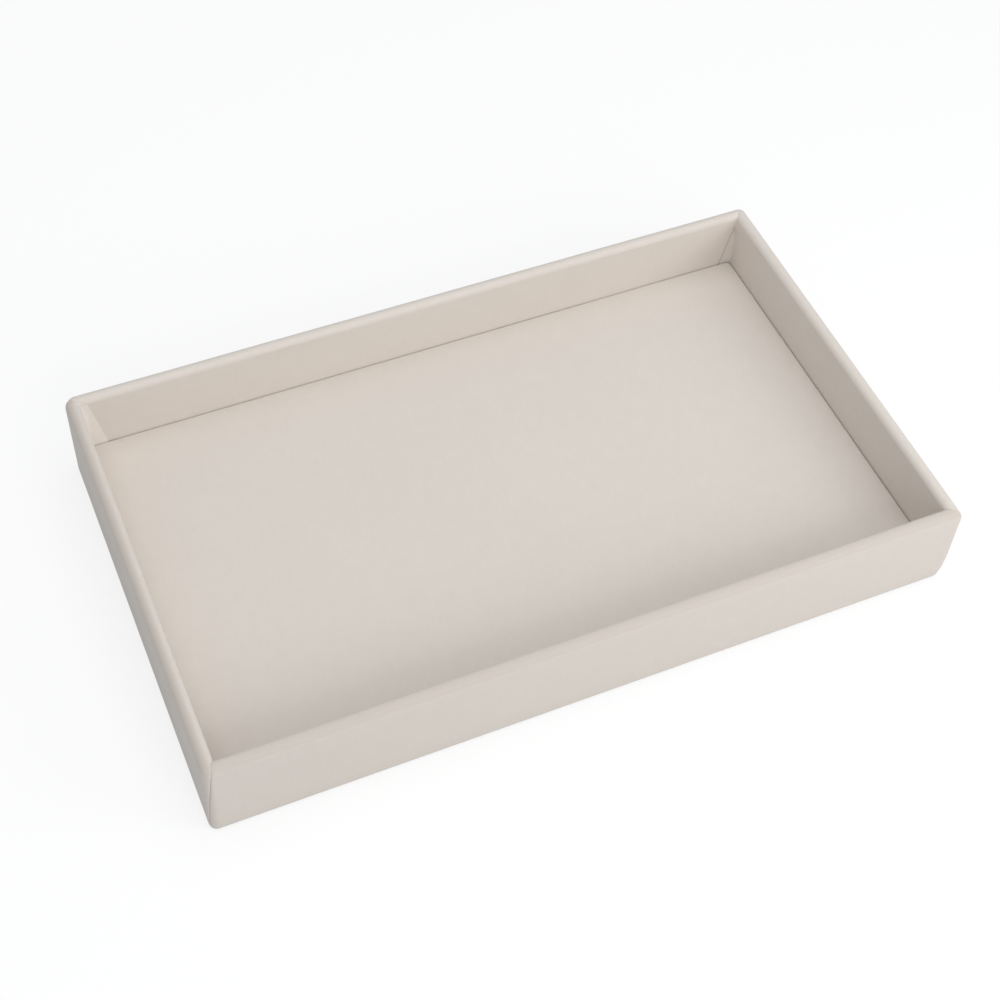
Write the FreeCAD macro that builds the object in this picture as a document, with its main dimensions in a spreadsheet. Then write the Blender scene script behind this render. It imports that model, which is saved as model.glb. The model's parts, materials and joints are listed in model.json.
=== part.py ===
import FreeCAD, Part
import math
import os
import Sketcher

# Jewelry tray: a shallow tray of mitred boards wrapped in pile fabric, with a padded insert that
# lies on its floor and lifts out. Millimetres, +Z up, +X along the long side, origin at the middle
# of the underside.

DIMENSIONS = (
    ("tray_length", 300.0, "outside length over the covers"),
    ("tray_width", 180.0, "outside width over the covers"),
    ("tray_height", 40.0, "height from the underside to the top of the rim"),
    ("wall_board_thickness", 4.0, "boards inside the walls"),
    ("base_board_thickness", 3.0, "board that the walls stand on"),
    ("fabric_thickness", 0.7, "fabric of the covers, pile included"),
    ("lining_thickness", 0.5, "sheet that the tray stands on"),
    ("corner_round", 4.3, "corner radius of the boards, seen from above"),
    ("rim_round", 1.5, "rounding of the wall boards' top edges"),
    ("hem_round", 0.6, "rounding of the base board's lower edge"),
    ("turn_in", 14.0, "width of the cover glued under the base"),
    ("floor_tab", 10.0, "width of the cover glued on top of the base"),
    ("tuck", 4.6, "reach of a side cover's corner tab along the next wall, at the base"),
    ("lining_inset", 6.0, "distance of the lining's edge from the tray's outside"),
    ("lining_corner", 5.0, "corner radius of the lining"),
    ("pad_gap", 0.8, "room between the pad and the wall covers, all round"),
    ("pad_board_thickness", 2.5, "stiff board under the pad's foam"),
    ("pad_foam_thickness", 4.6, "foam sheet of the pad"),
    ("pad_corner", 3.0, "corner radius of the pad's board and foam"),
    ("pad_crown", 1.8, "rounding of the foam's top edge"),
    ("pad_hem_round", 0.6, "rounding of the pad board's lower edge"),
    ("pad_turn_in", 12.0, "width of the pad's cover glued under its board"),
    ("pin_diameter", 1.0, "headless pins in the boards"),
    ("pin_length", 14.0, "length of a pin"),
    ("pin_point", 0.35, "bevel at a pin's point"),
    ("pin_set", 0.5, "depth of a pin's blunt end below the face it was driven into"),
    ("pin_clearance", 0.02, "room round a pin in its hole"),
    ("base_pin_margin", 30.0, "distance of the outermost base pins from the tray's ends"),
    ("long_wall_pins", 5, "base pins in each long wall"),
    ("short_wall_pins", 3, "base pins in each short wall"),
    ("corner_pin_margin", 9.0, "height of the corner pins from a wall board's lower and upper edges"),
)

doc = FreeCAD.newDocument("jewelry_tray")
sheet = doc.addObject("Spreadsheet::Sheet", "dims")
for row, (alias, number, meaning) in enumerate(DIMENSIONS, start=1):
    sheet.set(f"A{row}", meaning)
    sheet.set(f"B{row}", str(number))
    sheet.setAlias(f"B{row}", alias)
doc.recompute()

# The most that a rim's rounding may take of its board on each side, and the depth of the corner
# pins in a side board from its outer face, as shares of the board's thickness.
RIM_WALL_SHARE = 0.45
CORNER_PIN_SHARE = 0.65

# Heights and offsets that several pieces share, as expressions on the sheet.
FABRIC = "dims.fabric_thickness"
HALF_LENGTH = "dims.tray_length / 2"
HALF_WIDTH = "dims.tray_width / 2"
BOARD_INNER = f"({FABRIC} + dims.wall_board_thickness)"
WALL = f"({BOARD_INNER} + {FABRIC})"
BOARD_MIDDLE = f"({FABRIC} + dims.wall_board_thickness / 2)"
HEM = "dims.lining_thickness"
BASE_BOTTOM = f"({HEM} + {FABRIC})"
BASE_TOP = f"({BASE_BOTTOM} + dims.base_board_thickness)"
BOARD_TOP = f"(dims.tray_height - {FABRIC})"
COVER_CORNER = f"(dims.corner_round + {FABRIC})"
BOARD_RIM = f"min(dims.rim_round; {RIM_WALL_SHARE} * dims.wall_board_thickness)"
COVER_RIM = f"({BOARD_RIM} + {FABRIC})"
RIM_START = f"(dims.tray_height - {COVER_RIM})"
CORNER_PIN_INSET = f"({CORNER_PIN_SHARE} * dims.wall_board_thickness)"
ROUND_ACROSS = f"max(dims.corner_round - {CORNER_PIN_INSET} + dims.pin_diameter / 2; 0)"
CORNER_PIN_FALL = f"(dims.corner_round - sqrt(dims.corner_round ^ 2 - {ROUND_ACROSS} ^ 2))"
PAD_HALF_LENGTH = f"({HALF_LENGTH} - {WALL} - dims.pad_gap)"
PAD_HALF_WIDTH = f"({HALF_WIDTH} - {WALL} - dims.pad_gap)"
PAD_BOTTOM = f"({BASE_TOP} + {FABRIC})"
PAD_BOARD_BOTTOM = f"({PAD_BOTTOM} + {FABRIC})"
FOAM_BOTTOM = f"({PAD_BOARD_BOTTOM} + dims.pad_board_thickness)"
FOAM_TOP = f"({FOAM_BOTTOM} + dims.pad_foam_thickness)"
PAD_TOP = f"({FOAM_TOP} + {FABRIC})"

# Each wall is drawn as the front one, along X and facing -Y, then turned about Z to its side. The
# sides follow each other round the tray, and each gives half its wall's run and the reach from the
# middle of the tray to the wall's face.
SIDES = {
    "front": (HALF_LENGTH, HALF_WIDTH),
    "right": (HALF_WIDTH, HALF_LENGTH),
    "back": (HALF_LENGTH, HALF_WIDTH),
    "left": (HALF_WIDTH, HALF_LENGTH),
}
TUCKED_SIDES = ("left", "right")
SAME_PLACE_SHARE = 1e-5
UP = FreeCAD.Vector(0, 0, 1)


def measure(expression):
    """The number that an expression on the sheet gives."""
    return float(sheet.evalExpression(expression))


def same_place():
    """The distance under which two places count as one, for finding edges."""
    return SAME_PLACE_SHARE * measure("dims.tray_length")


def plane(body, role):
    """One of a body's own origin planes."""
    return next(feature for feature in body.Origin.OriginFeatures if feature.Role == role)


def new_sketch(body, name, role, offset):
    """An empty sketch, parallel to an origin plane of its body at the given offset."""
    sketch = body.newObject("Sketcher::SketchObject", name)
    sketch.AttachmentSupport = [(plane(body, role), "")]
    sketch.MapMode = "FlatFace"
    sketch.setExpression("AttachmentOffset.Base.z", offset)
    return sketch


def bind(sketch, kind, places, expression):
    """Adds a dimension to a sketch and ties it to the sheet."""
    index = sketch.addConstraint(Sketcher.Constraint(kind, *places, measure(expression)))
    sketch.setExpression(f"Constraints[{index}]", expression)


def arc_between(start, end, radius):
    """The short counterclockwise arc from one point to another."""
    chord = end - start
    half = chord.Length / 2
    inward = FreeCAD.Vector(-chord.y, chord.x, 0).normalize()
    centre = (start + end) / 2 + inward * math.sqrt(max(radius**2 - half**2, 0))
    first = math.atan2(start.y - centre.y, start.x - centre.x)
    sweep = 2 * math.asin(min(half / radius, 1))
    return Part.ArcOfCircle(Part.Circle(centre, UP, radius), first, first + sweep)


def sketch_outline(body, name, role, offset, corners, rounds=None):
    """A closed counterclockwise outline; rounds gives the radius of the arc that leaves a corner."""
    rounds = rounds or {}
    sketch = new_sketch(body, name, role, offset)
    spots = [FreeCAD.Vector(measure(x), measure(y), 0) for x, y in corners]
    for i, start in enumerate(spots):
        end = spots[(i + 1) % len(spots)]
        if i in rounds:
            sketch.addGeometry(arc_between(start, end, measure(rounds[i])))
        else:
            sketch.addGeometry(Part.LineSegment(start, end))
    for i in range(len(spots)):
        sketch.addConstraint(Sketcher.Constraint("Coincident", (i - 1) % len(spots), 2, i, 1))
    for i, (x, y) in enumerate(corners):
        bind(sketch, "DistanceX", (-1, 1, i, 1), x)
        bind(sketch, "DistanceY", (-1, 1, i, 1), y)
    for i, radius in rounds.items():
        bind(sketch, "Radius", (i,), radius)
    return sketch


def sketch_circles(body, name, role, offset, centres, radius):
    """Circles of one radius."""
    sketch = new_sketch(body, name, role, offset)
    for i, (x, y) in enumerate(centres):
        middle = FreeCAD.Vector(measure(x), measure(y), 0)
        sketch.addGeometry(Part.Circle(middle, UP, measure(radius)))
        bind(sketch, "DistanceX", (-1, 1, i, 3), x)
        bind(sketch, "DistanceY", (-1, 1, i, 3), y)
        bind(sketch, "Radius", (i,), radius)
    return sketch


def extrude(body, kind, name, sketch, length, reversed_way=False):
    """A Pad or a Pocket of a sketch."""
    feature = body.newObject(f"PartDesign::{kind}", name)
    feature.Profile = sketch
    feature.setExpression("Length", length)
    feature.Reversed = reversed_way
    return feature


def edge_names(feature, keep):
    """The names of a feature's edges that pass a test."""
    doc.recompute()
    return [f"Edge{number}" for number, edge in enumerate(feature.Shape.Edges, start=1) if keep(edge)]


def edges_at(feature, height, keep=lambda edge: True):
    """The names of a feature's level edges at a height."""
    level = measure(height)
    near = same_place()
    return edge_names(
        feature, lambda edge: all(abs(vertex.Z - level) < near for vertex in edge.Vertexes) and keep(edge)
    )


def dress(body, kind, name, base, edges, size_name, size):
    """A Fillet or a Chamfer of some of a feature's edges."""
    feature = body.newObject(f"PartDesign::{kind}", name)
    feature.Base = (base, edges)
    feature.setExpression(size_name, size)
    return feature


def mirror(body, name, feature, role):
    """A feature repeated on the other side of an origin plane."""
    copy = body.newObject("PartDesign::Mirrored", name)
    copy.Originals = [feature]
    copy.MirrorPlane = (plane(body, role), [""])
    body.Tip = copy
    return copy


def wedge(run, reach, outer, inner, radius=None):
    """Plan of a strip along one wall, between two depths from its face, mitred at both ends."""
    inner_x = f"({run} - {inner})"
    inner_y = f"-({reach} - {inner})"
    if radius is None:
        outer_x = f"({run} - {outer})"
        outer_y = f"-({reach} - {outer})"
        corners = [(f"-{outer_x}", outer_y), (outer_x, outer_y), (inner_x, inner_y), (f"-{inner_x}", inner_y)]
        return corners, None
    mitre = f"({outer} + {radius} * (1 - sqrt(0.5)))"
    straight_x = f"({run} - {outer} - {radius})"
    outer_y = f"-({reach} - {outer})"
    mitre_x = f"({run} - {mitre})"
    mitre_y = f"-({reach} - {mitre})"
    corners = [
        (f"-{straight_x}", outer_y),
        (straight_x, outer_y),
        (mitre_x, mitre_y),
        (inner_x, inner_y),
        (f"-{inner_x}", inner_y),
        (f"-{mitre_x}", mitre_y),
    ]
    return corners, {1: radius, 5: radius}


def rounded_rectangle(half_x, half_y, radius):
    """Plan of a layer with round corners."""
    side_x = f"({half_x} - {radius})"
    side_y = f"({half_y} - {radius})"
    corners = [
        (f"-{side_x}", f"-({half_y})"),
        (side_x, f"-({half_y})"),
        (f"({half_x})", f"-{side_y}"),
        (f"({half_x})", side_y),
        (side_x, f"({half_y})"),
        (f"-{side_x}", f"({half_y})"),
        (f"-({half_x})", side_y),
        (f"-({half_x})", f"-{side_y}"),
    ]
    return corners, {1: radius, 3: radius, 5: radius, 7: radius}


def along_wall(edge):
    """True for an edge that runs along its wall, and false for one on a mitre."""
    return edge.Curve.TypeId != "Part::GeomLine" or abs(edge.Curve.Direction.y) < SAME_PLACE_SHARE


def turn_to(side, body):
    """Turns a wall piece from the front to its own side."""
    angle = math.tau * list(SIDES).index(side) / len(SIDES)
    turned = FreeCAD.Rotation(UP, math.degrees(angle))
    body.Placement = FreeCAD.Placement(FreeCAD.Vector(), turned)


def new_body(label):
    """An empty body, which may hold several separate solids."""
    body = doc.addObject("PartDesign::Body", label)
    body.AllowCompound = True
    return body


def join(kind, label, base, tool):
    """A boolean of two objects."""
    result = doc.addObject(f"Part::{kind}", label)
    result.Base = base
    result.Tool = tool
    return result


def flat_layer(label, half_x, half_y, radius, bottom, thickness):
    """A flat layer with round corners, and its one feature."""
    body = new_body(label)
    corners, rounds = rounded_rectangle(half_x, half_y, radius)
    plan = sketch_outline(body, f"{label}_plan", "XY_Plane", bottom, corners, rounds)
    return body, extrude(body, "Pad", f"{label}_layer", plan, thickness)


def base_blank():
    """The base board before its pin holes, with its lower edge eased for the covers."""
    half_x = f"({HALF_LENGTH} - {FABRIC})"
    half_y = f"({HALF_WIDTH} - {FABRIC})"
    thickness = "dims.base_board_thickness"
    body, layer = flat_layer("base_blank", half_x, half_y, "dims.corner_round", BASE_BOTTOM, thickness)
    edges = edges_at(layer, BASE_BOTTOM)
    dress(body, "Fillet", "base_edge", layer, edges, "Radius", "dims.hem_round")
    return body


def wall_blank(side):
    """A wall board before its pin holes, with both top edges rounded."""
    run, reach = SIDES[side]
    label = f"{side}_wall_blank"
    body = new_body(label)
    corners, rounds = wedge(run, reach, FABRIC, BOARD_INNER, "dims.corner_round")
    plan = sketch_outline(body, f"{label}_plan", "XY_Plane", BASE_TOP, corners, rounds)
    board = extrude(body, "Pad", f"{label}_board", plan, f"{BOARD_TOP} - {BASE_TOP}")
    edges = edges_at(board, BOARD_TOP, along_wall)
    dress(body, "Fillet", f"{label}_rim", board, edges, "Radius", BOARD_RIM)
    turn_to(side, body)
    return body


def cut_tuck(body, side, run, reach):
    """Takes the slanted corner off both ends of a front or back cover's inner face."""
    corner = f"({run} - {WALL})"
    behind = f"({run} - {BOARD_INNER})"
    outline = [
        (f"({corner} - dims.tuck)", BASE_TOP),
        (behind, BASE_TOP),
        (behind, RIM_START),
        (corner, RIM_START),
    ]
    shape = sketch_outline(body, f"{side}_tuck_outline", "XZ_Plane", f"{reach} - {WALL}", outline)
    cut = extrude(body, "Pocket", f"{side}_tuck", shape, FABRIC, reversed_way=True)
    mirror(body, f"{side}_tuck_other_end", cut, "YZ_Plane")


def add_tuck(body, side, run, reach):
    """Adds a side cover's corner tabs, which turn onto the front and back walls' inner faces."""
    corner = f"-({reach} - {WALL})"
    behind = f"-({reach} - {BOARD_INNER})"
    outline = [
        (behind, BASE_TOP),
        (f"({corner} + dims.tuck)", BASE_TOP),
        (corner, RIM_START),
        (behind, RIM_START),
    ]
    shape = sketch_outline(body, f"{side}_tuck_outline", "YZ_Plane", f"{run} - {WALL}", outline)
    tab = extrude(body, "Pad", f"{side}_tuck", shape, FABRIC)
    mirror(body, f"{side}_tuck_other_end", tab, "YZ_Plane")


def wall_wrap(side):
    """The space that a wall and its cover fill, with the turned-in hem and the floor tab."""
    run, reach = SIDES[side]
    label = f"{side}_wall_wrap"
    body = new_body(label)
    corners, rounds = wedge(run, reach, "0", "dims.turn_in", COVER_CORNER)
    hem_plan = sketch_outline(body, f"{label}_hem_plan", "XY_Plane", HEM, corners, rounds)
    extrude(body, "Pad", f"{label}_hem", hem_plan, FABRIC)
    corners, rounds = wedge(run, reach, "0", WALL, COVER_CORNER)
    wall_plan = sketch_outline(body, f"{label}_plan", "XY_Plane", HEM, corners, rounds)
    wall = extrude(body, "Pad", f"{label}_wall", wall_plan, f"dims.tray_height - {HEM}")
    edges = edges_at(wall, "dims.tray_height", along_wall)
    rim = dress(body, "Fillet", f"{label}_rim", wall, edges, "Radius", COVER_RIM)
    outer_limit = measure(f"{COVER_CORNER} - {reach}")
    edges = edges_at(rim, HEM, lambda edge: along_wall(edge) and edge.BoundBox.YMax < outer_limit)
    dress(body, "Fillet", f"{label}_fold", rim, edges, "Radius", f"dims.hem_round + {FABRIC}")
    corners, rounds = wedge(run, reach, BOARD_INNER, f"({WALL} + dims.floor_tab)")
    tab_plan = sketch_outline(body, f"{label}_tab_plan", "XY_Plane", BASE_TOP, corners, rounds)
    extrude(body, "Pad", f"{label}_tab", tab_plan, FABRIC)
    if side in TUCKED_SIDES:
        add_tuck(body, side, run, reach)
    else:
        cut_tuck(body, side, run, reach)
    turn_to(side, body)
    return body


def base_pin_places():
    """Centres of the base pins, seen from above, along the middle of each wall board."""
    long_line = f"({HALF_WIDTH} - {BOARD_MIDDLE})"
    short_line = f"({HALF_LENGTH} - {BOARD_MIDDLE})"
    places = []
    for number in range(int(measure("dims.long_wall_pins"))):
        along = f"({HALF_LENGTH} - dims.base_pin_margin) * (2 * {number} / (dims.long_wall_pins - 1) - 1)"
        places += [(along, f"-{long_line}"), (along, long_line)]
    for number in range(int(measure("dims.short_wall_pins"))):
        along = f"({HALF_WIDTH} - dims.base_pin_margin) * (2 * {number} / (dims.short_wall_pins - 1) - 1)"
        places += [(f"-{short_line}", along), (short_line, along)]
    return places


def corner_pin_places():
    """Centres of one long wall's corner pins, seen from the front."""
    across = f"({HALF_LENGTH} - {FABRIC} - {CORNER_PIN_INSET})"
    low = f"({BASE_TOP} + dims.corner_pin_margin)"
    high = f"({BOARD_TOP} - dims.corner_pin_margin)"
    return [(f"{sign}{across}", height) for sign in ("-", "") for height in (low, high)]


def base_pins():
    """Pins driven up through the base into the walls."""
    body = new_body("base_pins")
    start = f"{BASE_BOTTOM} + dims.pin_set"
    circles = sketch_circles(
        body, "base_pin_circles", "XY_Plane", start, base_pin_places(), "dims.pin_diameter / 2"
    )
    shanks = extrude(body, "Pad", "base_pin_shanks", circles, "dims.pin_length")
    points = edges_at(shanks, f"{start} + dims.pin_length")
    dress(body, "Chamfer", "base_pin_points", shanks, points, "Size", "dims.pin_point")
    return body


def corner_pins():
    """Pins driven through the long walls' ends into the side walls."""
    body = new_body("corner_pins")
    start = f"{HALF_WIDTH} - {FABRIC} - {CORNER_PIN_FALL} - dims.pin_set"
    circles = sketch_circles(
        body, "corner_pin_circles", "XZ_Plane", start, corner_pin_places(), "dims.pin_diameter / 2"
    )
    front = extrude(body, "Pad", "corner_pin_shanks", circles, "dims.pin_length", reversed_way=True)
    shanks = mirror(body, "corner_pin_back_shanks", front, "XZ_Plane")
    tip = measure(f"{start} - dims.pin_length")
    near = same_place()
    points = edge_names(shanks, lambda edge: all(abs(abs(vertex.Y) - tip) < near for vertex in edge.Vertexes))
    dress(body, "Chamfer", "corner_pin_points", shanks, points, "Size", "dims.pin_point")
    return body


def pin_holes():
    """The holes that the pins fill, each open at the face where its pin was driven in."""
    radius = "dims.pin_diameter / 2 + dims.pin_clearance"
    depth = "dims.pin_set + dims.pin_length + dims.pin_clearance"
    base_holes = new_body("base_pin_holes")
    circles = sketch_circles(
        base_holes, "base_hole_circles", "XY_Plane", BASE_BOTTOM, base_pin_places(), radius
    )
    extrude(base_holes, "Pad", "base_hole_depth", circles, depth)
    corner_holes = new_body("corner_pin_holes")
    face = f"{HALF_WIDTH} - {FABRIC}"
    circles = sketch_circles(
        corner_holes, "corner_hole_circles", "XZ_Plane", face, corner_pin_places(), radius
    )
    depth = f"{CORNER_PIN_FALL} + {depth}"
    front = extrude(corner_holes, "Pad", "corner_hole_depth", circles, depth, reversed_way=True)
    mirror(corner_holes, "corner_hole_back_depth", front, "XZ_Plane")
    return base_holes, corner_holes


def underside_lining():
    """The thin sheet that hides the covers' turned-in edges and that the tray stands on."""
    half_x = f"({HALF_LENGTH} - dims.lining_inset)"
    half_y = f"({HALF_WIDTH} - dims.lining_inset)"
    body, _ = flat_layer("underside_lining", half_x, half_y, "dims.lining_corner", "0", HEM)
    return body


def pad_layers():
    """The pad's stiff board and its foam, which is rounded along its top edge."""
    half_x = f"({PAD_HALF_LENGTH} - {FABRIC})"
    half_y = f"({PAD_HALF_WIDTH} - {FABRIC})"
    corner = "dims.pad_corner"
    thickness = "dims.pad_board_thickness"
    board, board_layer = flat_layer("pad_board", half_x, half_y, corner, PAD_BOARD_BOTTOM, thickness)
    edges = edges_at(board_layer, PAD_BOARD_BOTTOM)
    dress(board, "Fillet", "pad_board_edge", board_layer, edges, "Radius", "dims.pad_hem_round")
    thickness = "dims.pad_foam_thickness"
    foam, foam_layer = flat_layer("pad_foam", half_x, half_y, corner, FOAM_BOTTOM, thickness)
    edges = edges_at(foam_layer, FOAM_TOP)
    dress(foam, "Fillet", "pad_foam_crown", foam_layer, edges, "Radius", "dims.pad_crown")
    return board, foam


def pad_wrap():
    """The space that the pad and its cover fill, open below inside the turned-in hem."""
    corner = f"(dims.pad_corner + {FABRIC})"
    height = f"{PAD_TOP} - {PAD_BOTTOM}"
    body, block = flat_layer("pad_wrap", PAD_HALF_LENGTH, PAD_HALF_WIDTH, corner, PAD_BOTTOM, height)
    edges = edges_at(block, PAD_TOP)
    crown = dress(body, "Fillet", "pad_wrap_crown", block, edges, "Radius", f"dims.pad_crown + {FABRIC}")
    edges = edges_at(crown, PAD_BOTTOM)
    dress(body, "Fillet", "pad_wrap_fold", crown, edges, "Radius", f"dims.pad_hem_round + {FABRIC}")
    window_x = f"({PAD_HALF_LENGTH} - dims.pad_turn_in)"
    window_y = f"({PAD_HALF_WIDTH} - dims.pad_turn_in)"
    corners, rounds = rounded_rectangle(window_x, window_y, "dims.pad_corner")
    window = sketch_outline(body, "pad_window_plan", "XY_Plane", PAD_BOTTOM, corners, rounds)
    extrude(body, "Pocket", "pad_window", window, FABRIC, reversed_way=True)
    return body


def build_tray():
    """Every sub-part of the tray and of its pad."""
    base = base_blank()
    holes = join("Fuse", "pin_holes", *pin_holes())
    pieces = [join("Cut", "base_board", base, holes), base_pins(), corner_pins(), underside_lining()]
    for side in SIDES:
        blank = wall_blank(side)
        core = join("Fuse", f"{side}_wall_core", blank, base)
        pieces.append(join("Cut", f"{side}_wall_board", blank, holes))
        pieces.append(join("Cut", f"{side}_wall_cover", wall_wrap(side), core))
    board, foam = pad_layers()
    core = join("Fuse", "pad_core", board, foam)
    pieces += [board, foam, join("Cut", "pad_cover", pad_wrap(), core)]
    doc.recompute()
    return pieces


def check(pieces):
    """Stops if an object failed, a pocket cut nothing or a sub-part has no sound shape."""
    for thing in doc.Objects:
        if "Invalid" in thing.State or "Error" in thing.State:
            raise RuntimeError(f"{thing.Label} failed: {thing.State}")
    for pocket in doc.findObjects("PartDesign::Pocket"):
        if pocket.Shape.Volume >= pocket.BaseFeature.Shape.Volume:
            raise RuntimeError(f"{pocket.Label} cuts nothing")
    for piece in pieces:
        if piece.Shape.isNull() or not piece.Shape.isValid():
            raise RuntimeError(f"{piece.Label} has no sound shape")


tray_pieces = build_tray()
check(tray_pieces)
os.makedirs("parts", exist_ok=True)
for piece in tray_pieces:
    piece.Shape.exportStep(f"parts/{piece.Label}.step")
    box = piece.Shape.optimalBoundingBox()
    size = f"{box.XLength:.2f} x {box.YLength:.2f} x {box.ZLength:.2f} mm"
    print(f"{piece.Label}: {len(piece.Shape.Solids)} solid(s), {piece.Shape.Volume:.1f} mm3, {size}")
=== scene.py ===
# %% [markdown]
# # A fabric-covered jewelry tray
# The tray is four thin boards on a base, wrapped in a cream pile fabric, with a padded insert lying
# on its floor. Boards, pins and the pad's stiff board come from the packed model and stay as they
# are. Everything soft is made here: four wall covers, the pad's cover and foam, and the felt below.
# Lengths are metres in the packed model's frame: X along the tray, Y to its back, Z up.

# %% Load the packed tray
import json
import math

import bmesh
import bpy
import numpy as np
from mathutils import Matrix, Vector, kdtree, noise


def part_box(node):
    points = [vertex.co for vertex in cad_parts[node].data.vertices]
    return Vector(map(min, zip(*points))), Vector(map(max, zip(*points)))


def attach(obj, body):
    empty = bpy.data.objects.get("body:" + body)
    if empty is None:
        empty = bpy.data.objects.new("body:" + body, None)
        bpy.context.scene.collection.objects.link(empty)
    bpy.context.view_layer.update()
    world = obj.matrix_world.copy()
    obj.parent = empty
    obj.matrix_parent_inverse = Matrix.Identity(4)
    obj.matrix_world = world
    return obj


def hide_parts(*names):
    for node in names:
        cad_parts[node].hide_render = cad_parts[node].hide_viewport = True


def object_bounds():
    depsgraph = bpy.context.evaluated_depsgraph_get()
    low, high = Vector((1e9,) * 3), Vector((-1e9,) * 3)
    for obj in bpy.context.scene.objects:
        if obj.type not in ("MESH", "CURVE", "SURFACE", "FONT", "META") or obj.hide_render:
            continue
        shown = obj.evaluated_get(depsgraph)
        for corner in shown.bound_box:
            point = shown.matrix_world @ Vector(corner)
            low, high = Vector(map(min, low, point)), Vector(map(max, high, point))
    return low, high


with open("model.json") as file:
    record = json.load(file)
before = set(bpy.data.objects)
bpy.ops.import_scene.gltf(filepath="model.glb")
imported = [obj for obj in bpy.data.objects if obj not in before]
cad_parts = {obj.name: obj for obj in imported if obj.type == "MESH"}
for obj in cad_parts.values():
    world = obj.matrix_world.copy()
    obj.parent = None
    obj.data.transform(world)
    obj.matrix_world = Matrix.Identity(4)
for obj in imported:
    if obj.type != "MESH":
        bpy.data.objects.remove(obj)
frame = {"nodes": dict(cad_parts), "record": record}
scene = bpy.context.scene
cad_box = [list(corner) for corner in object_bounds()]
print("packed tray, lowest and highest corner:", cad_box)

# %% [markdown]
# ## Camera
# The photograph looks down on the tray from the front left. A camera could be nudged by eye, but the
# tray is a box with straight edges, so its angles, distance and focal length were worked out from the
# edges' lines in the picture. Three turns about the point it looks at, then a step back, place it.

# %% Set the camera
PICTURE_SIDE_PIXELS = 1000.0
FOCAL_LENGTH_PIXELS = 1821.0
SENSOR_SIDE = 36.0
AIM = Vector((0.00249, 0.00858, 0.0))
DISTANCE = 0.7350
AZIMUTH = math.radians(-25.82)
ELEVATION = math.radians(52.36)
ROLL = math.radians(3.34)

swing = Matrix.Rotation(AZIMUTH, 4, "Z")
tilt = Matrix.Rotation(math.pi / 2 - ELEVATION, 4, "X")
roll = Matrix.Rotation(ROLL, 4, "Z")
step_back = Matrix.Translation((0, 0, DISTANCE))
camera = bpy.data.objects.new("photo_camera", bpy.data.cameras.new("photo_camera"))
camera.data.sensor_width = SENSOR_SIDE
camera.data.lens = FOCAL_LENGTH_PIXELS * SENSOR_SIDE / PICTURE_SIDE_PIXELS
camera.matrix_world = Matrix.Translation(AIM) @ swing @ tilt @ roll @ step_back
scene.collection.objects.link(camera)
scene.camera = camera
standpoint = [round(x, 3) for x in camera.matrix_world.translation]
print(f"camera at {standpoint}, {camera.data.lens:.1f} mm")

# %% [markdown]
# ## Shader maths as Python
# A material is a graph of nodes. Adding nodes one by one hides the sum that they work out, so this
# small class wraps the output of a node and lets Python's own operators add the Math nodes. Colours
# are blended by a Mix node, because a Math node would turn them grey.

# %% Wrap a node's output
def pick(sockets, key):
    """A socket by its number, its identifier or its name."""
    if isinstance(key, int):
        return sockets[key]
    return next(socket for socket in sockets if key in (socket.identifier, socket.name))


class Wire:
    """An output of a node; sums and products of wires add the nodes that work them out."""

    def __init__(self, tree, socket=None):
        self.tree = tree
        self.socket = socket

    def node(self, kind, settings, sockets, output=0):
        """Adds a node of any kind: its settings first, then its sockets' values or wires."""
        made = self.tree.nodes.new(kind)
        for name, value in settings.items():
            setattr(made, name, value)
        for key, value in sockets.items():
            socket = pick(made.inputs, key)
            if isinstance(value, Wire):
                self.tree.links.new(value.socket, socket)
            else:
                socket.default_value = value
        return Wire(self.tree, pick(made.outputs, output) if made.outputs else None)

    def maths(self, operation, first, second):
        """Adds a Math node that works on two wires or numbers."""
        return self.node("ShaderNodeMath", {"operation": operation}, {0: first, 1: second})

    def __add__(self, other):
        return self.maths("ADD", self, other)

    __radd__ = __add__

    def __mul__(self, other):
        return self.maths("MULTIPLY", self, other)

    __rmul__ = __mul__

    def __sub__(self, other):
        return self.maths("SUBTRACT", self, other)

    def __rsub__(self, other):
        return self.maths("SUBTRACT", other, self)

    def blend(self, low, high):
        """A colour from low, where this wire is 0, to high, where it is 1."""
        sockets = {"Factor_Float": self, "A_Color": low, "B_Color": high}
        return self.node("ShaderNodeMix", {"data_type": "RGBA"}, sockets, "Result_Color")


print("operators for a number before a wire:", [name for name in vars(Wire) if name.startswith("__r")])

# %% Start and end a finish
def paint(red, green, blue):
    """A colour given as a picture's 0 to 255 values, in the linear values that shaders use."""
    shares = np.array([red, green, blue]) / 255
    linear = np.where(shares <= 0.04045, shares / 12.92, ((shares + 0.055) / 1.055) ** 2.4)
    return (*linear, 1.0)


def new_finish(name):
    """An empty material, and a wire to add its first nodes with."""
    material = bpy.data.materials.new(name)
    material.use_nodes = True
    material.node_tree.nodes.clear()
    return material, Wire(material.node_tree)


def end_finish(bench, sockets):
    """Ends a material with one surface shader that takes the given values and wires."""
    surface = bench.node("ShaderNodeBsdfPrincipled", {}, sockets)
    bench.node("ShaderNodeOutputMaterial", {}, {"Surface": surface})


print("mid grey as a shader takes it:", round(paint(128, 128, 128)[0], 3))

# %% [markdown]
# ## Studio floor
# The photograph's background is white and keeps only a soft shadow beside the tray. A brighter lamp
# would bleach the cream fabric too, so the floor itself is white, and what the camera sees of it,
# straight or by way of gloss or glass, is partly a plain white glow. Light on its way from the floor
# to the tray meets a pale grey instead, so that the walls aren't lit too strongly from below.

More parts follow.
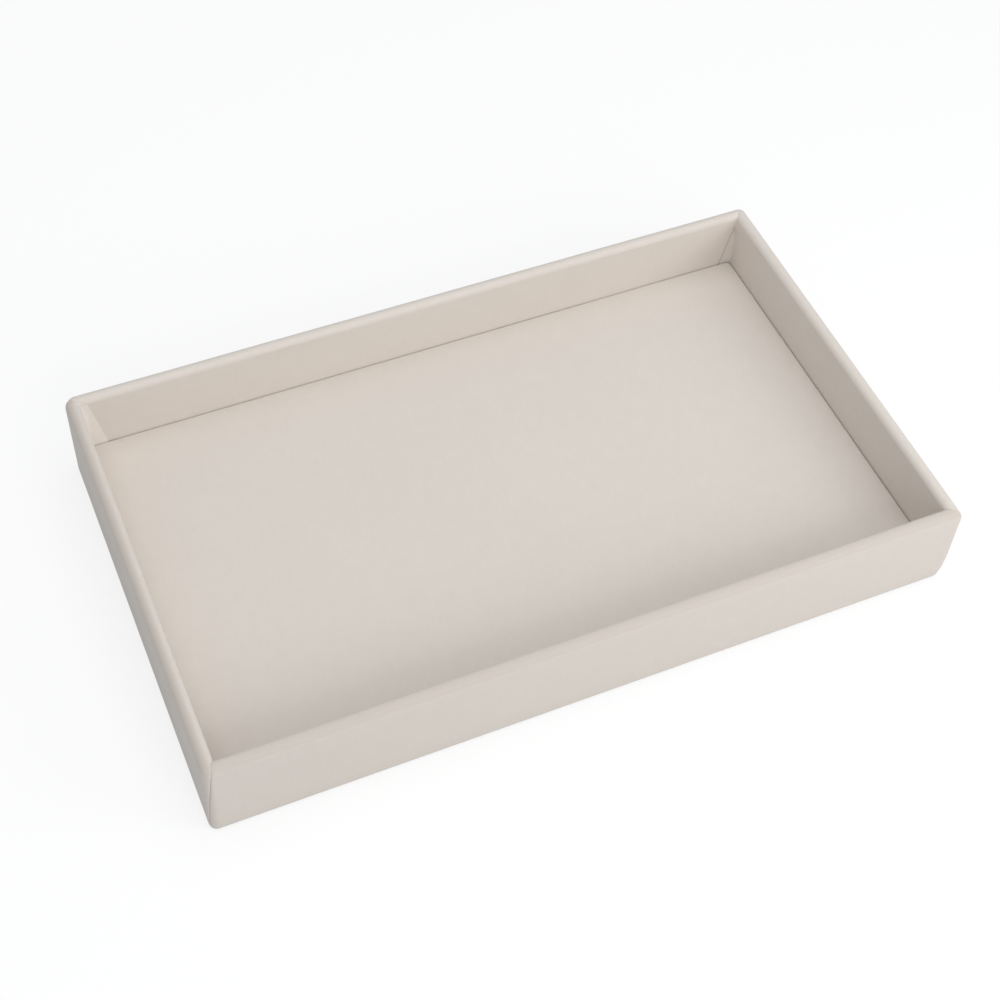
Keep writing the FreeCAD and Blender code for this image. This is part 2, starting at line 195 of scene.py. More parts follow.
# %% Lay the floor
FLOOR_HALF_SIDE = 3.0
FLOOR_GLOW_SHARE = 0.75
FLOOR_SEEN = paint(252, 252, 252)
FLOOR_BOUNCE = paint(209, 209, 209)
WHITE = (1.0, 1.0, 1.0, 1.0)
SQUARE = ((-1, -1), (1, -1), (1, 1), (-1, 1))


def ray_kind(bench, kind):
    """1 for light of one kind, such as what reaches the camera straight, and 0 for the rest."""
    return bench.node("ShaderNodeLightPath", {}, {}, kind)


def seen_light(bench):
    """1 for light that reaches the camera straight or by way of gloss or glass, and 0 for the rest."""
    straight = ray_kind(bench, "Is Camera Ray")
    return straight + ray_kind(bench, "Is Glossy Ray") + ray_kind(bench, "Is Transmission Ray")


floor_white, bench = new_finish("floor_white")
floor_tone = ray_kind(bench, "Is Camera Ray").blend(FLOOR_BOUNCE, FLOOR_SEEN)
floor_paint = bench.node("ShaderNodeBsdfDiffuse", {}, {"Color": floor_tone})
floor_glow = bench.node("ShaderNodeEmission", {}, {"Color": WHITE, "Strength": 1.0})
glow_share = FLOOR_GLOW_SHARE * seen_light(bench)
floor_surface = bench.node("ShaderNodeMixShader", {}, {0: glow_share, 1: floor_paint, 2: floor_glow})
bench.node("ShaderNodeOutputMaterial", {}, {"Surface": floor_surface})

floor_mesh = bpy.data.meshes.new("studio_floor")
floor_corners = [(x * FLOOR_HALF_SIDE, y * FLOOR_HALF_SIDE, 0) for x, y in SQUARE]
floor_mesh.from_pydata(floor_corners, [], [(0, 1, 2, 3)])
floor_mesh.materials.append(floor_white)
floor = bpy.data.objects.new("studio_floor", floor_mesh)
scene.collection.objects.link(floor)
print(f"floor {2 * FLOOR_HALF_SIDE:.0f} m square")

# %% [markdown]
# ## Light
# The tray's right wall shades the pad beside it, the front wall grows brighter to the right, and the
# faces that look left are the darkest. So the nearest soft box stands at the front right, another in
# front, a large one hangs overhead, and the pale room, a touch cooler than the lamps, fills in evenly.
# Each box is an area lamp: a larger lamp gives a softer shadow. Their powers let a colour come out
# about as it is written. The camera sees the room as plain white.

# %% Hang the lamps
MIDDLE = Vector((0.0, 0.0, 0.02))


def soft_box(name, place, width, watts):
    """A square area lamp that faces the middle of the tray."""
    lamp = bpy.data.lights.new(name, "AREA")
    lamp.shape = "SQUARE"
    lamp.size = width
    lamp.energy = watts
    holder = bpy.data.objects.new(name, lamp)
    holder.location = place
    holder.rotation_mode = "QUATERNION"
    holder.rotation_quaternion = (MIDDLE - Vector(place)).to_track_quat("-Z", "Y")
    scene.collection.objects.link(holder)


soft_box("key_box", place=(0.5, -0.5, 0.4), width=0.4, watts=1.65)
soft_box("front_box", place=(0.0, -1.0, 0.6), width=0.6, watts=3.0)
soft_box("top_box", place=(0.0, 0.0, 1.2), width=1.2, watts=5.4)

# %% Light the room
ROOM_LEVEL = 0.54
ROOM_TINT = (0.94, 0.965, 1.0, 1.0)

room = bpy.data.worlds.new("white_room")
room.use_nodes = True
room.node_tree.nodes.clear()
bench = Wire(room.node_tree)
seen_room = bench.node("ShaderNodeBackground", {}, {"Color": WHITE, "Strength": 1.0})
lit_room = bench.node("ShaderNodeBackground", {}, {"Color": ROOM_TINT, "Strength": ROOM_LEVEL})
either_room = bench.node("ShaderNodeMixShader", {}, {0: seen_light(bench), 1: lit_room, 2: seen_room})
bench.node("ShaderNodeOutputWorld", {}, {"Surface": either_room})
scene.world = room
scene.view_settings.view_transform = "Standard"
print(f"{room.name}: level {ROOM_LEVEL}, {len(room.node_tree.nodes)} nodes")

# %% [markdown]
# ## Pile fabric
# The covers are a short, dense, brushed pile: matt, cream, and so even that a step away only faint
# clouds show. An image of fabric would repeat, so noise at four sizes stands for the pile instead:
# single tufts, the brushed lay of the nap, patches where it turns, and broad clouds. The pattern is
# read from where each point lay on the flat cloth, so it runs on over every fold. The front and left
# rims get painted shade, a darker cream on the upward outer half of their rounding. The slits of the
# slanted cuts get a stronger painted shade. Where a tab lies on top at a corner, its nap is turned
# sideways, and a paler cream is put on it as a painted highlight.

# %% Read patterns from a surface
NOISE_ROUGHNESS = 0.55


def cloth_value(bench, name, output="Fac"):
    """What a cloth's mesh keeps for every point under a name, such as its place on the flat cloth."""
    return bench.node("ShaderNodeAttribute", {"attribute_name": name}, {}, output)


def stretched(bench, place, stretch):
    """A place scaled along each axis, which draws a pattern out where the scale is small."""
    return bench.node("ShaderNodeVectorMath", {"operation": "MULTIPLY"}, {0: place, 1: stretch})


def noise_field(bench, place, size, detail):
    """Smooth noise from 0 to 1 whose patches are about as large as size."""
    sockets = {"Vector": place, "Scale": 1 / size, "Detail": detail, "Roughness": NOISE_ROUGHNESS}
    return bench.node("ShaderNodeTexNoise", {"noise_dimensions": "3D"}, sockets, "Fac")


def relief(bench, height, depth, strength):
    """A normal that makes heights from 0 to 1 look as deep as depth."""
    return bench.node("ShaderNodeBump", {}, {"Height": height, "Distance": depth, "Strength": strength})


print(f"each finer layer of noise is {NOISE_ROUGHNESS:.0%} as strong as the one before")

# %% Mix the cover fabric
CREAM_DEEP = paint(209, 200, 191)
CREAM_LIGHT = paint(221, 214, 206)
# Painted shade: the darker cream put on the front and left rims and in the slits.
CREAM_PAINTED_SHADE = paint(186, 176, 166)
# Painted highlight: the paler cream put on a tab that lies on top, whose nap is turned sideways.
CREAM_PAINTED_HIGHLIGHT = paint(233, 228, 222)
# How far the cream goes towards the painted shade where that shade is at full strength.
PAINTED_SHADE_SHARE = 0.55
TUFT = 0.00032
NAP_LAY = 0.0011
NAP_PATCH = 0.006
CLOUD = 0.045
NAP_STRETCH = (1.0, 0.3, 1.0)

cover_fabric, bench = new_finish("cover_fabric")
place = cloth_value(bench, "cloth_place", "Vector")
tufts = noise_field(bench, place, TUFT, detail=2.0)
nap = noise_field(bench, stretched(bench, place, NAP_STRETCH), NAP_LAY, detail=2.0)
nap_patches = noise_field(bench, place, NAP_PATCH, detail=1.0)
clouds = noise_field(bench, place, CLOUD, detail=1.0)
tone = 0.35 * tufts + 0.3 * nap + 0.2 * nap_patches + 0.15 * clouds
cream = tone.blend(CREAM_DEEP, CREAM_LIGHT)
# Painted shade on the front and left rims and in the slits.
cream_with_shade = (PAINTED_SHADE_SHARE * cloth_value(bench, "painted_shade")).blend(cream, CREAM_PAINTED_SHADE)
sockets = {
    # Painted highlight on a tab that lies on top.
    "Base Color": cloth_value(bench, "painted_tab_highlight").blend(cream_with_shade, CREAM_PAINTED_HIGHLIGHT),
    "Roughness": 0.82 + 0.14 * tufts,
    "Specular IOR Level": 0.25,
    "Sheen Weight": 0.12,
    "Sheen Roughness": 0.45,
    "Normal": relief(bench, 0.7 * tufts + 0.3 * nap, depth=0.00012, strength=0.5),
}
end_finish(bench, sockets)
print("cover fabric nodes:", len(cover_fabric.node_tree.nodes))

# %% [markdown]
# ## Grids of cloth
# Every soft piece here is a strip that follows a cross-section while it runs along a side and round
# half a corner. A subdivided cube would give the box, but no control of its folds. So a piece is laid
# out as rows along the cross-section and columns along the side, worked out as whole arrays.

# %% Draw a cross-section
FOLD_STEPS = 8


def rounded_path(corners, radii, step):
    """A cross-section of straight runs with square, rounded corners, from edge to edge of the cloth.

    Corners are (depth, height) pairs; depth counts inwards from the piece's outer face. For each point
    the path has depth, height, the outer normal's outward and upward parts, the distance along the
    cloth, and the number of its run, with a half added on the fold after it.
    """
    corners = np.array(corners, float)
    ways = np.diff(corners, axis=0)
    lengths = np.linalg.norm(ways, axis=1)
    ways /= lengths[:, None]
    trims = [0.0, *radii, 0.0]
    points = []
    for run, (way, length) in enumerate(zip(ways, lengths)):
        first = trims[run]
        last = length - trims[run + 1]
        steps = max(1, round((last - first) / step))
        for along in np.linspace(first, last, steps + 1):
            points.append((*(corners[run] + way * along), *way, run))
        if run < len(radii):
            onward = ways[run + 1]
            centre = corners[run + 1] + (onward - way) * radii[run]
            for angle in np.linspace(0, math.pi / 2, FOLD_STEPS + 1)[1:-1]:
                place = centre + radii[run] * (way * math.sin(angle) - onward * math.cos(angle))
                tangent = way * math.cos(angle) + onward * math.sin(angle)
                points.append((*place, *tangent, run + 0.5))
    points = np.array(points)
    steps = np.linalg.norm(np.diff(points[:, :2], axis=0), axis=1)
    return {
        "depth": points[:, 0],
        "height": points[:, 1],
        "outward": points[:, 3],
        "upward": points[:, 2],
        "distance": np.concatenate([[0.0], np.cumsum(steps)]),
        "run": points[:, 4],
    }


one_fold = rounded_path([(0, 0), (0, 1), (1, 1)], [0.002], step=1.0)
print("two runs and the fold between them have", len(one_fold["depth"]), "points")

# %% [markdown]
# ## Strips round a tray
# A strip is drawn as the front one and then turned to its side. Each row of cloth runs along the side
# and bends round the corners at its two ends. A row may stop on a corner's mitre line or short of it,
# or run on past it, because hand-cut strips don't all meet in the middle of the corner. Columns crowd
# towards both ends, where the seams are.

# %% Space out the columns
END_ZONE = 0.016
END_COLUMNS = 40
COLUMN_STEP = 0.003


def column_places(ends, half_run):
    """Distances from the strip's middle for every row, crowded towards both of its ends."""
    near_end = END_ZONE * np.linspace(1, 0, END_COLUMNS) ** 2
    steps = round((half_run - END_ZONE) / COLUMN_STEP)
    shares = np.linspace(0, 1, steps, endpoint=False)
    halves = []
    for end in ends.T[..., None]:
        halves.append(np.concatenate([shares * (end - END_ZONE), end - near_end], axis=1))
    first, second = halves
    return np.concatenate([-first[:, :0:-1], second], axis=1)


half_long_side = cad_box[1][0]
one_row = np.full((1, 2), half_long_side)
print("columns on a long side:", column_places(one_row, half_long_side).shape[1])

# %% Lay out a strip
SHARPEST_BEND = 1e-9


def strip(path, half_run, reach, corners, hollows, ends):
    """Points and outer normals of a front strip, in rows along the path and columns along the side.

    For both ends of every row, corners has the corner's outer radius, hollows the radius at which the
    row turns an inner corner, and ends its length from the middle. A row that is longer than to the
    corner goes on along the next side.
    """
    places = column_places(ends, half_run)
    way = np.where(places < 0, -1, 1)
    at_end = (way > 0) * 1
    corner = np.take_along_axis(corners, at_end, axis=1)
    hollow = np.take_along_axis(hollows, at_end, axis=1)
    depth = path["depth"][:, None]
    bend = np.maximum(corner - depth, 0) + hollow
    straight = half_run - np.maximum(corner, depth) - hollow
    beyond = np.maximum(np.abs(places) - straight, 0)
    turn = np.minimum(beyond / np.maximum(bend, SHARPEST_BEND), math.pi / 2)
    past = beyond - bend * turn
    along = way * (np.minimum(np.abs(places), straight) + bend * np.sin(turn))
    out = reach - depth - bend * (1 - np.cos(turn)) - past
    level = np.broadcast_to(path["height"][:, None], along.shape)
    outward = path["outward"][:, None]
    upward = np.broadcast_to(path["upward"][:, None], along.shape)
    return {
        "points": np.stack([along, -out, level], axis=-1),
        "normals": np.stack([way * outward * np.sin(turn), -outward * np.cos(turn), upward], axis=-1),
        "places": places,
        "from_end": np.take_along_axis(ends, at_end, axis=1) - np.abs(places),
        "on_next_side": np.where(past > 0, past + hollow, 0),
        "turn": turn,
        "way": way,
    }


def row_length(path, half_run, corner):
    """Half the length of every row, from the strip's middle to the mitre line of a corner."""
    bend = np.maximum(corner - path["depth"], 0)
    return half_run - np.maximum(corner, path["depth"]) + bend * math.pi / 4


half_row = row_length(one_fold, half_long_side, 0.01)[0]
print(f"half a long row that ends round a corner of 10 mm: {half_row * 1000:.1f} mm")

# %% Turn strips to their sides
SIDES = ("front", "right", "back", "left")


def turned(points, side):
    """Points of a front strip, moved to a side of the tray."""
    angle = math.tau * SIDES.index(side) / len(SIDES)
    turn = np.array(Matrix.Rotation(angle, 3, "Z"))
    return points @ turn.T


def side_spans(half_length, half_width):
    """Half the length of every side, and how far from the middle the side lies."""
    long_side = (half_length, half_width)
    short_side = (half_width, half_length)
    return dict(zip(SIDES, (long_side, short_side, long_side, short_side)))


print("strips are laid out for", SIDES)

# %% [markdown]
# ## Sewing
# A cover may be laid out as several grids, but it is one cloth. Separate objects would show a line
# where they meet, so the grids go into one mesh and are welded where their edges touch. The mesh is
# the cloth's outer face. A modifier adds the thickness on its inner side, so that the folds stay as
# they were drawn.

# %% Sew grids into one piece
WELD = 1e-6


def grid_faces(rows, columns, first):
    """Corner numbers of a grid's squares."""
    corner = first + np.arange(rows * columns).reshape(rows, columns)
    squares = [corner[:-1, :-1], corner[:-1, 1:], corner[1:, 1:], corner[1:, :-1]]
    return np.stack(squares, axis=-1).reshape(-1, 4)


def sew(name, patches, finish, **painted_light):
    """One smooth mesh of several grids, joined where their edges meet.

    A patch is its points and their places on the flat cloth. Painted light and shade are given by
    name, with a number for every point.
    """
    faces = []
    first = 0
    for points, _ in patches:
        faces.append(grid_faces(*points.shape[:2], first))
        first += points.shape[0] * points.shape[1]
    mesh = bpy.data.meshes.new(name)
    points = np.concatenate([patch[0].reshape(-1, 3) for patch in patches])
    places = np.concatenate([patch[1].reshape(-1, 3) for patch in patches])
    mesh.from_pydata(points.tolist(), [], np.concatenate(faces).tolist())
    cloth = mesh.attributes.new("cloth_place", "FLOAT_VECTOR", "POINT")
    cloth.data.foreach_set("vector", places.ravel())
    for painting, amount in painted_light.items():
        mesh.attributes.new(painting, "FLOAT", "POINT").data.foreach_set("value", amount.ravel())
    work = bmesh.new()
    work.from_mesh(mesh)
    bmesh.ops.remove_doubles(work, verts=work.verts, dist=WELD)
    bmesh.ops.dissolve_degenerate(work, edges=work.edges, dist=WELD)
    work.to_mesh(mesh)
    work.free()
    mesh.shade_smooth()
    mesh.materials.append(finish)
    piece = bpy.data.objects.new(name, mesh)
    scene.collection.objects.link(piece)
    return piece


def thicken(piece, thickness):
    """Gives a sheet its thickness, on the side that its normals point away from."""
    layer = piece.modifiers.new("thickness", "SOLIDIFY")
    layer.thickness = thickness
    layer.offset = -1
    return piece


print("a grid of 3 rows and 4 columns has", len(grid_faces(3, 4, 0)), "squares")

# %% [markdown]
# ## Wall covers
# Each wall has its own strip of fabric. It starts under the base, folds up round the lower edge, goes
# over the rim, down the inside, and ends as a tab on the floor that the pad hides. The rim is soft: the
# cloth rolls over the board in one wide curve. A cloth simulation wouldn't find these glued folds, so
# the strips are laid out one by one. A strip's runs are numbered from 0 in that order: turn-in, outer
# face, top, inner face and floor tab.

# %% Measure the walls
HALF_LENGTH, HALF_WIDTH, RIM_TOP = cad_box[1]
SPANS = side_spans(HALF_LENGTH, HALF_WIDTH)
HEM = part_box("front_wall_cover")[0].z
WALL = 0.0054
RIM_OUTER_ROUND = 0.0028
RIM_INNER_ROUND = 0.0024
HEM_FOLD = 0.0013
TURN_IN = 0.014
FLOOR_TAB = 0.010
FLOOR = 0.0049
FLOOR_CREASE = 0.0005
TURN_IN_RUN = 0
OUTER_RUN = 1
INNER_RUN = 3
wall_path = rounded_path(
    [(TURN_IN, HEM), (0, HEM), (0, RIM_TOP), (WALL, RIM_TOP), (WALL, FLOOR), (WALL + FLOOR_TAB, FLOOR)],
    [HEM_FOLD, RIM_OUTER_ROUND, RIM_INNER_ROUND, FLOOR_CREASE],
    step=0.003,
)
CLOTH_WIDTH = wall_path["distance"][-1]
row_run = wall_path["run"]
row_height = wall_path["height"]
over_rim = (row_run > OUTER_RUN) & (row_run < INNER_RUN)
rim_share = np.where(over_rim, wall_path["depth"] / WALL, row_run >= INNER_RUN)
on_inside = row_run == INNER_RUN
print(f"a wall cover is cut {CLOTH_WIDTH * 1000:.1f} mm wide, {len(row_run)} rows")

# %% [markdown]
# ## Four corners
# At the corners two strips meet edge to edge, and pressing the edges into the glue leaves a fine groove.
# Inside, the left and right strips turn the corner as a tab with a slanted cut. The front and back
# strips lie over it, but for the back left corner, where the tab lies on top. One mitred corner could
# be copied four times, but no two corners of a tray that is covered by hand are alike, so each has its
# own roundness, seam and cut.

# %% Describe the corners
CORNERS = {
    "front_left": {
        "round": 0.0035,
        "low_round": 0.0030,
        "seam": 0.0024,
        "low_seam": -0.0020,
        "cut_top": 0.0,
        "cut": 0.0060,
        "bend": 0.0028,
        "slit": 0.0002,
        "tab_over": False,
    },
    "front_right": {
        "round": 0.0014,
        "low_round": 0.0062,
        "seam": 0.0005,
        "low_seam": 0.0015,
        "cut_top": 0.0,
        "cut": 0.0060,
        "bend": 0.0028,
        "slit": 0.0002,
        "tab_over": False,
    },
    "back_right": {
        "round": 0.0030,
        "low_round": 0.0044,
        "seam": 0.0,
        "low_seam": 0.0,
        "cut_top": 0.0,
        "cut": 0.0074,
        "bend": 0.0010,
        "slit": 0.0008,
        "tab_over": False,
    },
    "back_left": {
        "round": 0.0048,
        "low_round": 0.0050,
        "seam": 0.0,
        "low_seam": 0.0,
        "cut_top": 0.0034,
        "cut": 0.0100,
        "bend": 0.0028,
        "slit": 0.0,
        "tab_over": True,
    },
}
WAYS = (-1, 1)


def corner_at(number, way):
    """The corner at one end of a side; each side starts at the corner with its own number."""
    return list(CORNERS.values())[(number + (way > 0)) % len(CORNERS)]


print("slanted cuts at the floor:", [corner["cut"] for corner in CORNERS.values()])

# %% Shape the corners
RIM_START = RIM_TOP - RIM_INNER_ROUND
LOW_ZONE = 0.014
INNER_ROUND_SHARE = 0.93
CUT_ZONE = 0.45
TAB_FADE = 0.006
TAB_FOOT = 0.0004
TAB_BEND_SHARE = 0.85


def smooth_step(shares):
    """0 up to 0, 1 from 1, and a soft slope between."""
    shares = np.clip(shares, 0, 1)
    return shares * shares * (3 - 2 * shares)


def corner_radius(corner):
    """A corner's outer radius for every row of a wall cover."""
    fallen = np.clip(1 - (row_height - HEM) / LOW_ZONE, 0, 1)
    radius = corner["round"] + (corner["low_round"] - corner["round"]) * (1 - np.sqrt(1 - fallen**2))
    tight = np.minimum(radius, INNER_ROUND_SHARE * WALL)
    return np.where(row_run < INNER_RUN, radius + (tight - radius) * rim_share, 0)


def seam_shift(corner):
    """How far the outer seam lies past the mitre line, row by row, on the side that starts there."""
    share = np.clip((row_height - HEM) / (RIM_TOP - HEM), 0, 1)
    above_hem = smooth_step((row_height - HEM) / HEM_FOLD) * (row_run < INNER_RUN)
    shift = corner["low_seam"] + (corner["seam"] - corner["low_seam"]) * share
    return shift * (1 - rim_share) * above_hem


def slant(corner):
    """How far the slanted cut is from the inner corner, row by row, from the rim down to the floor."""
    share = np.clip((RIM_START - row_height) / (RIM_START - FLOOR), 0, 1)
    on_rim = corner["cut_top"] * smooth_step(1 - (1 - rim_share) / CUT_ZONE)
    return on_rim + (corner["cut"] - corner["cut_top"]) * share * (row_run >= INNER_RUN)


def tab_form():
    """How fully a corner tab has its form, row by row: not at the rim, nor where it meets the floor."""
    below_rim = smooth_step((RIM_START - row_height) / TAB_FADE)
    return below_rim * smooth_step((row_height - FLOOR) / TAB_FOOT) * on_inside


def tab_bend(corner):
    """The radius at which a tab turns the inner corner: tight at the rim, loose further down."""
    return np.minimum(TAB_BEND_SHARE * slant(corner), corner["bend"]) * tab_form()


print("loosest bends of the tabs:", [round(tab_bend(corner).max(), 4) for corner in CORNERS.values()])

# %% Cut the strips' ends
TABBED = ("left", "right")
UNDERLAP = 0.0010
SEAM_GAP = 0.00004
HIDDEN_GAP = 0.0004


def strip_ends(number, half_run):
    """For both ends of every row of a wall cover: outer radius, inner radius and length to the cut.

    A tab that bends round a corner is longer by a quarter turn, and shorter by the two straight runs
    that the bend cuts off.
    """
    ends = []
    for way in WAYS:
        corner = corner_at(number, way)
        radius = corner_radius(corner)
        hollow = np.zeros_like(radius)
        hidden = (row_run == TURN_IN_RUN) | (row_run > INNER_RUN)
        gap = np.where(hidden, HIDDEN_GAP, SEAM_GAP * (1 - rim_share))
        length = row_length(wall_path, half_run, radius) - gap + way * seam_shift(corner)
        underlap = UNDERLAP * tab_form()
        if SIDES[number] in TABBED:
            hollow = tab_bend(corner)
            length = length + slant(corner) * over_rim
            tab = slant(corner) * np.maximum(tab_form(), row_height > RIM_START - TAB_FADE)
            tab = tab + underlap * (not corner["tab_over"])
            length = np.where(on_inside, half_run - WALL + tab + hollow * (math.pi / 2 - 2), length)
        else:
            length = length - slant(corner) * over_rim
            cut = half_run - WALL - slant(corner) + underlap * corner["tab_over"]
            length = np.where(row_run >= INNER_RUN, np.minimum(length, cut), length)
        ends.append((radius, hollow, length))
    radii, hollows, lengths = (np.stack(values, axis=1) for values in zip(*ends))
    return radii, hollows, lengths


for number, side in enumerate(SIDES):
    _, _, lengths = strip_ends(number, SPANS[side][0])
    print(f"{side} strip: longest row {lengths.sum(axis=1).max() * 1000:.1f} mm")

# %% [markdown]
# ## Glue and hands
# Fabric that is glued on by hand isn't flat. Its edges sink into the seams, a tab goes down into the
# slit beside a slanted cut, and some slack stays as low waves. A modifier that moves every point by
# one noise would blur the seams too, so each of these is worked out for its own place and moves the
# cloth along its normals. The left wall also leans in a little.

# %% Press the seams
LIP = 0.0010
LIP_DEPTH = 0.00024
SLIT_SHARE = 0.4
TAB_STEP = 0.0003
TAB_DEPTH = 0.0006
PRESSED_ZONE = 0.006
PRESSED_DEPTH = 0.0002
TURNED_FADE = math.radians(45)


def in_slit(number, laid):
    """Where a tab goes down into the slit and on under the slanted cut, from 0 to 1."""
    inside = np.zeros_like(laid["places"])
    for way in WAYS:
        corner = corner_at(number, way)
        if SIDES[number] in TABBED and not corner["tab_over"]:
            edge = slant(corner) - np.minimum(corner["slit"], SLIT_SHARE * slant(corner))
            past_edge = laid["on_next_side"] - edge[:, None]
            inside += smooth_step(past_edge / TAB_STEP) * (laid["way"] == way)
    return inside * tab_form()[:, None]


def under_tab(number, laid):
    """Where a front or back strip is pressed in, because a tab lies over its end, from 0 to 1."""
    under = np.zeros_like(laid["places"])
    for way in WAYS:
        if SIDES[number] not in TABBED and corner_at(number, way)["tab_over"]:
            under += smooth_step(1 - (laid["from_end"] - UNDERLAP) / PRESSED_ZONE) * (laid["way"] == way)
    return under * tab_form()[:, None]


def on_top(number, laid):
    """Where a tab lies over the next side's strip, from 0 to 1."""
    over = np.zeros_like(laid["places"])
    for way in WAYS:
        if SIDES[number] in TABBED and corner_at(number, way)["tab_over"]:
            over += smooth_step(laid["turn"] / TURNED_FADE) * (laid["way"] == way)
    return over * on_inside[:, None]


def seam_shape(number, laid):
    """How far the cloth stands off its plain form near its ends, where it is pressed in."""
    lips = (1 - rim_share[:, None]) ** 2 * np.clip(1 - laid["from_end"] / LIP, 0, 1) ** 2
    tucked = TAB_DEPTH * in_slit(number, laid)
    pressed = PRESSED_DEPTH * under_tab(number, laid)
    return -LIP_DEPTH * lips - tucked - pressed


print(f"seams sink by {LIP_DEPTH * 1000:.2f} mm, tabs in their slits by {TAB_DEPTH * 1000:.2f} mm")

# %% Loosen the cloth
WAVE_SIZE = 0.05
WAVE_DEPTH = 0.00008
RIPPLE_SIZE = 0.014
RIPPLE_DEPTH = 0.00003
RIPPLE_SHIFT = 1.0
LOOSE_ZONE = 0.004
LEAN = 0.0004
LEAN_ZONE = 0.004


def waviness(points, size):
    """Smooth noise about 0 at every point, the same on each run."""
    flat = points.reshape(-1, 3) / size
    return np.array([noise.noise(Vector(point)) for point in flat]).reshape(points.shape[:-1])


def slack(points):
    """How far the cloth waves off a wall; inside, it only sinks, so that the pad has room."""
    waves = WAVE_DEPTH * waviness(points, WAVE_SIZE)
    waves = waves + RIPPLE_DEPTH * waviness(points + RIPPLE_SHIFT, RIPPLE_SIZE)
    waves = np.where(on_inside[:, None], -np.abs(waves), waves)
    loose = smooth_step((row_height - HEM - HEM_FOLD) / LOOSE_ZONE) * (row_run <= INNER_RUN)
    return waves * loose[:, None]


def leaning(points):
    """The left wall leans in a little at its top, and the corners beside it follow."""
    share = smooth_step((WALL + LEAN_ZONE - HALF_LENGTH - points[..., 0]) / LEAN_ZONE)
    moved = points.copy()
    moved[..., 0] += LEAN * share * points[..., 2] / RIM_TOP
    return moved


print(f"waves of about {WAVE_DEPTH * 1000:.2f} mm, a lean of {LEAN * 1000:.1f} mm")

# %% Wrap the walls
# Painted shade on the front and left rims, on the outer half of their rounding that faces up.
SHADED_RIMS = {"front": 1.0, "right": 0.0, "back": 0.0, "left": 1.0}
SHADED_SLOPE = 0.7
SHADED_OUTER_SHARE = 0.65
# Painted shade in the slits beside the slanted cuts, stronger than on the rims.
SLIT_SHADE = 1.8
# Painted highlight on a tab that lies on top; its nap really is turned sideways.
TAB_HIGHLIGHT = 0.7
COVER_THICKNESS = 0.0006


def painted_cover_light(number, laid):
    """Where a wall cover gets painted shade on some rims and in slits, and a painted highlight on a tab.
    """
    facing_up = smooth_step(wall_path["upward"] / SHADED_SLOPE)
    outer_half = smooth_step((1 - rim_share) / SHADED_OUTER_SHARE)
    # Painted shade on the front and left rims.
    painted_rim_shade = SHADED_RIMS[SIDES[number]] * (facing_up * outer_half)[:, None]
    # Stronger painted shade in the slits, on top of the rims' painted shade.
    painted_shade = np.maximum(painted_rim_shade, SLIT_SHADE * in_slit(number, laid))
    return {"painted_shade": painted_shade, "painted_tab_highlight": TAB_HIGHLIGHT * on_top(number, laid)}


def wall_cover(number):
    """The cover of one wall as it is glued on, and the area that it has when it is cut out flat."""
    side = SIDES[number]
    half_run, reach = SPANS[side]
    radii, hollows, lengths = strip_ends(number, half_run)
    laid = strip(wall_path, half_run, reach, radii, hollows, lengths)
    offset = seam_shape(number, laid) + slack(turned(laid["points"], side))
    points = leaning(turned(laid["points"] + laid["normals"] * offset[..., None], side))
    across = np.broadcast_to(wall_path["distance"][:, None], laid["places"].shape)
    cloth = np.stack([laid["places"], across, np.full(across.shape, float(number))], axis=-1)
    painted_light = painted_cover_light(number, laid)
    cover = sew(f"{side}_cover_fabric", [(points, cloth)], cover_fabric, **painted_light)
    row_widths = lengths.sum(axis=1)
    flat_area = (row_widths[1:] + row_widths[:-1]) @ np.diff(wall_path["distance"]) / 2
    return thicken(cover, COVER_THICKNESS), flat_area


for number, side in enumerate(SIDES):
    cover, flat_area = wall_cover(number)
    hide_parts(f"{side}_wall_cover")
    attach(cover, "tray")
    half_run, _ = SPANS[side]
    2 * half_run
    print(f"{cover.name}: {len(cover.data.polygons)} faces, flat area {flat_area * 1e4:.0f} cm2")

# %% [markdown]
# ## Floor pad
# The pad is a stiff board with a thin sheet of foam, wrapped in the same fabric, which is folded under
# and glued. Its cover is four strips, one round each edge, and a flat middle that joins them. A
# bevelled box would do for the shape, but it would have no flat cloth to read the pile from. The right
# and back edges reach a little further than the packed pad's, because the gaps in the photograph are
# finest there.

# %% Cut flat layers
def both_ends(path, value):
    """The same value at both ends of every row."""
    return np.stack([np.broadcast_to(value, path["depth"].shape)] * 2, axis=1)


def layer_patches(path, half_length, half_width, corner, lot, closed=False):
    """Four strips round a layer with round corners, and the flat middle at the path's last height.

    A closed layer has another middle, facing down, at the path's first height. The lot numbers the
    cloth, so that no two cloths show the same part of a pattern.
    """
    patches = []
    for side, (half_run, reach) in side_spans(half_length, half_width).items():
        ends = both_ends(path, row_length(path, half_run, corner))
        laid = strip(path, half_run, reach, both_ends(path, corner), both_ends(path, 0), ends)
        points = turned(laid["points"], side)
        rise = np.broadcast_to(path["distance"][-1] - path["distance"][:, None], laid["places"].shape)
        outward = turned(np.stack([np.zeros_like(rise), -rise, np.zeros_like(rise)], -1), side)
        inner_edge = np.broadcast_to(points[-1:], points.shape)
        cloth = inner_edge * (1, 1, 0) + outward + (0, 0, lot)
        patches.append((points, cloth))
    across = patches[0][0][-1, :, 0]
    deep = patches[1][0][-1, :, 1]
    x, y = np.meshgrid(across, deep)
    cloth = np.stack([x, y, np.full(x.shape, float(lot))], -1)
    top = np.stack([x, y, np.full(x.shape, path["height"][-1])], -1)
    patches.append((top, cloth))
    if closed:
        bottom = np.stack([x, y, np.full(x.shape, path["height"][0])], -1)
        patches.append((bottom[::-1], cloth[::-1] + (0, 0, 1)))
    return patches


print("a layer is", len(layer_patches(one_fold, 2.0, 2.0, 0.1, lot=1)), "patches")

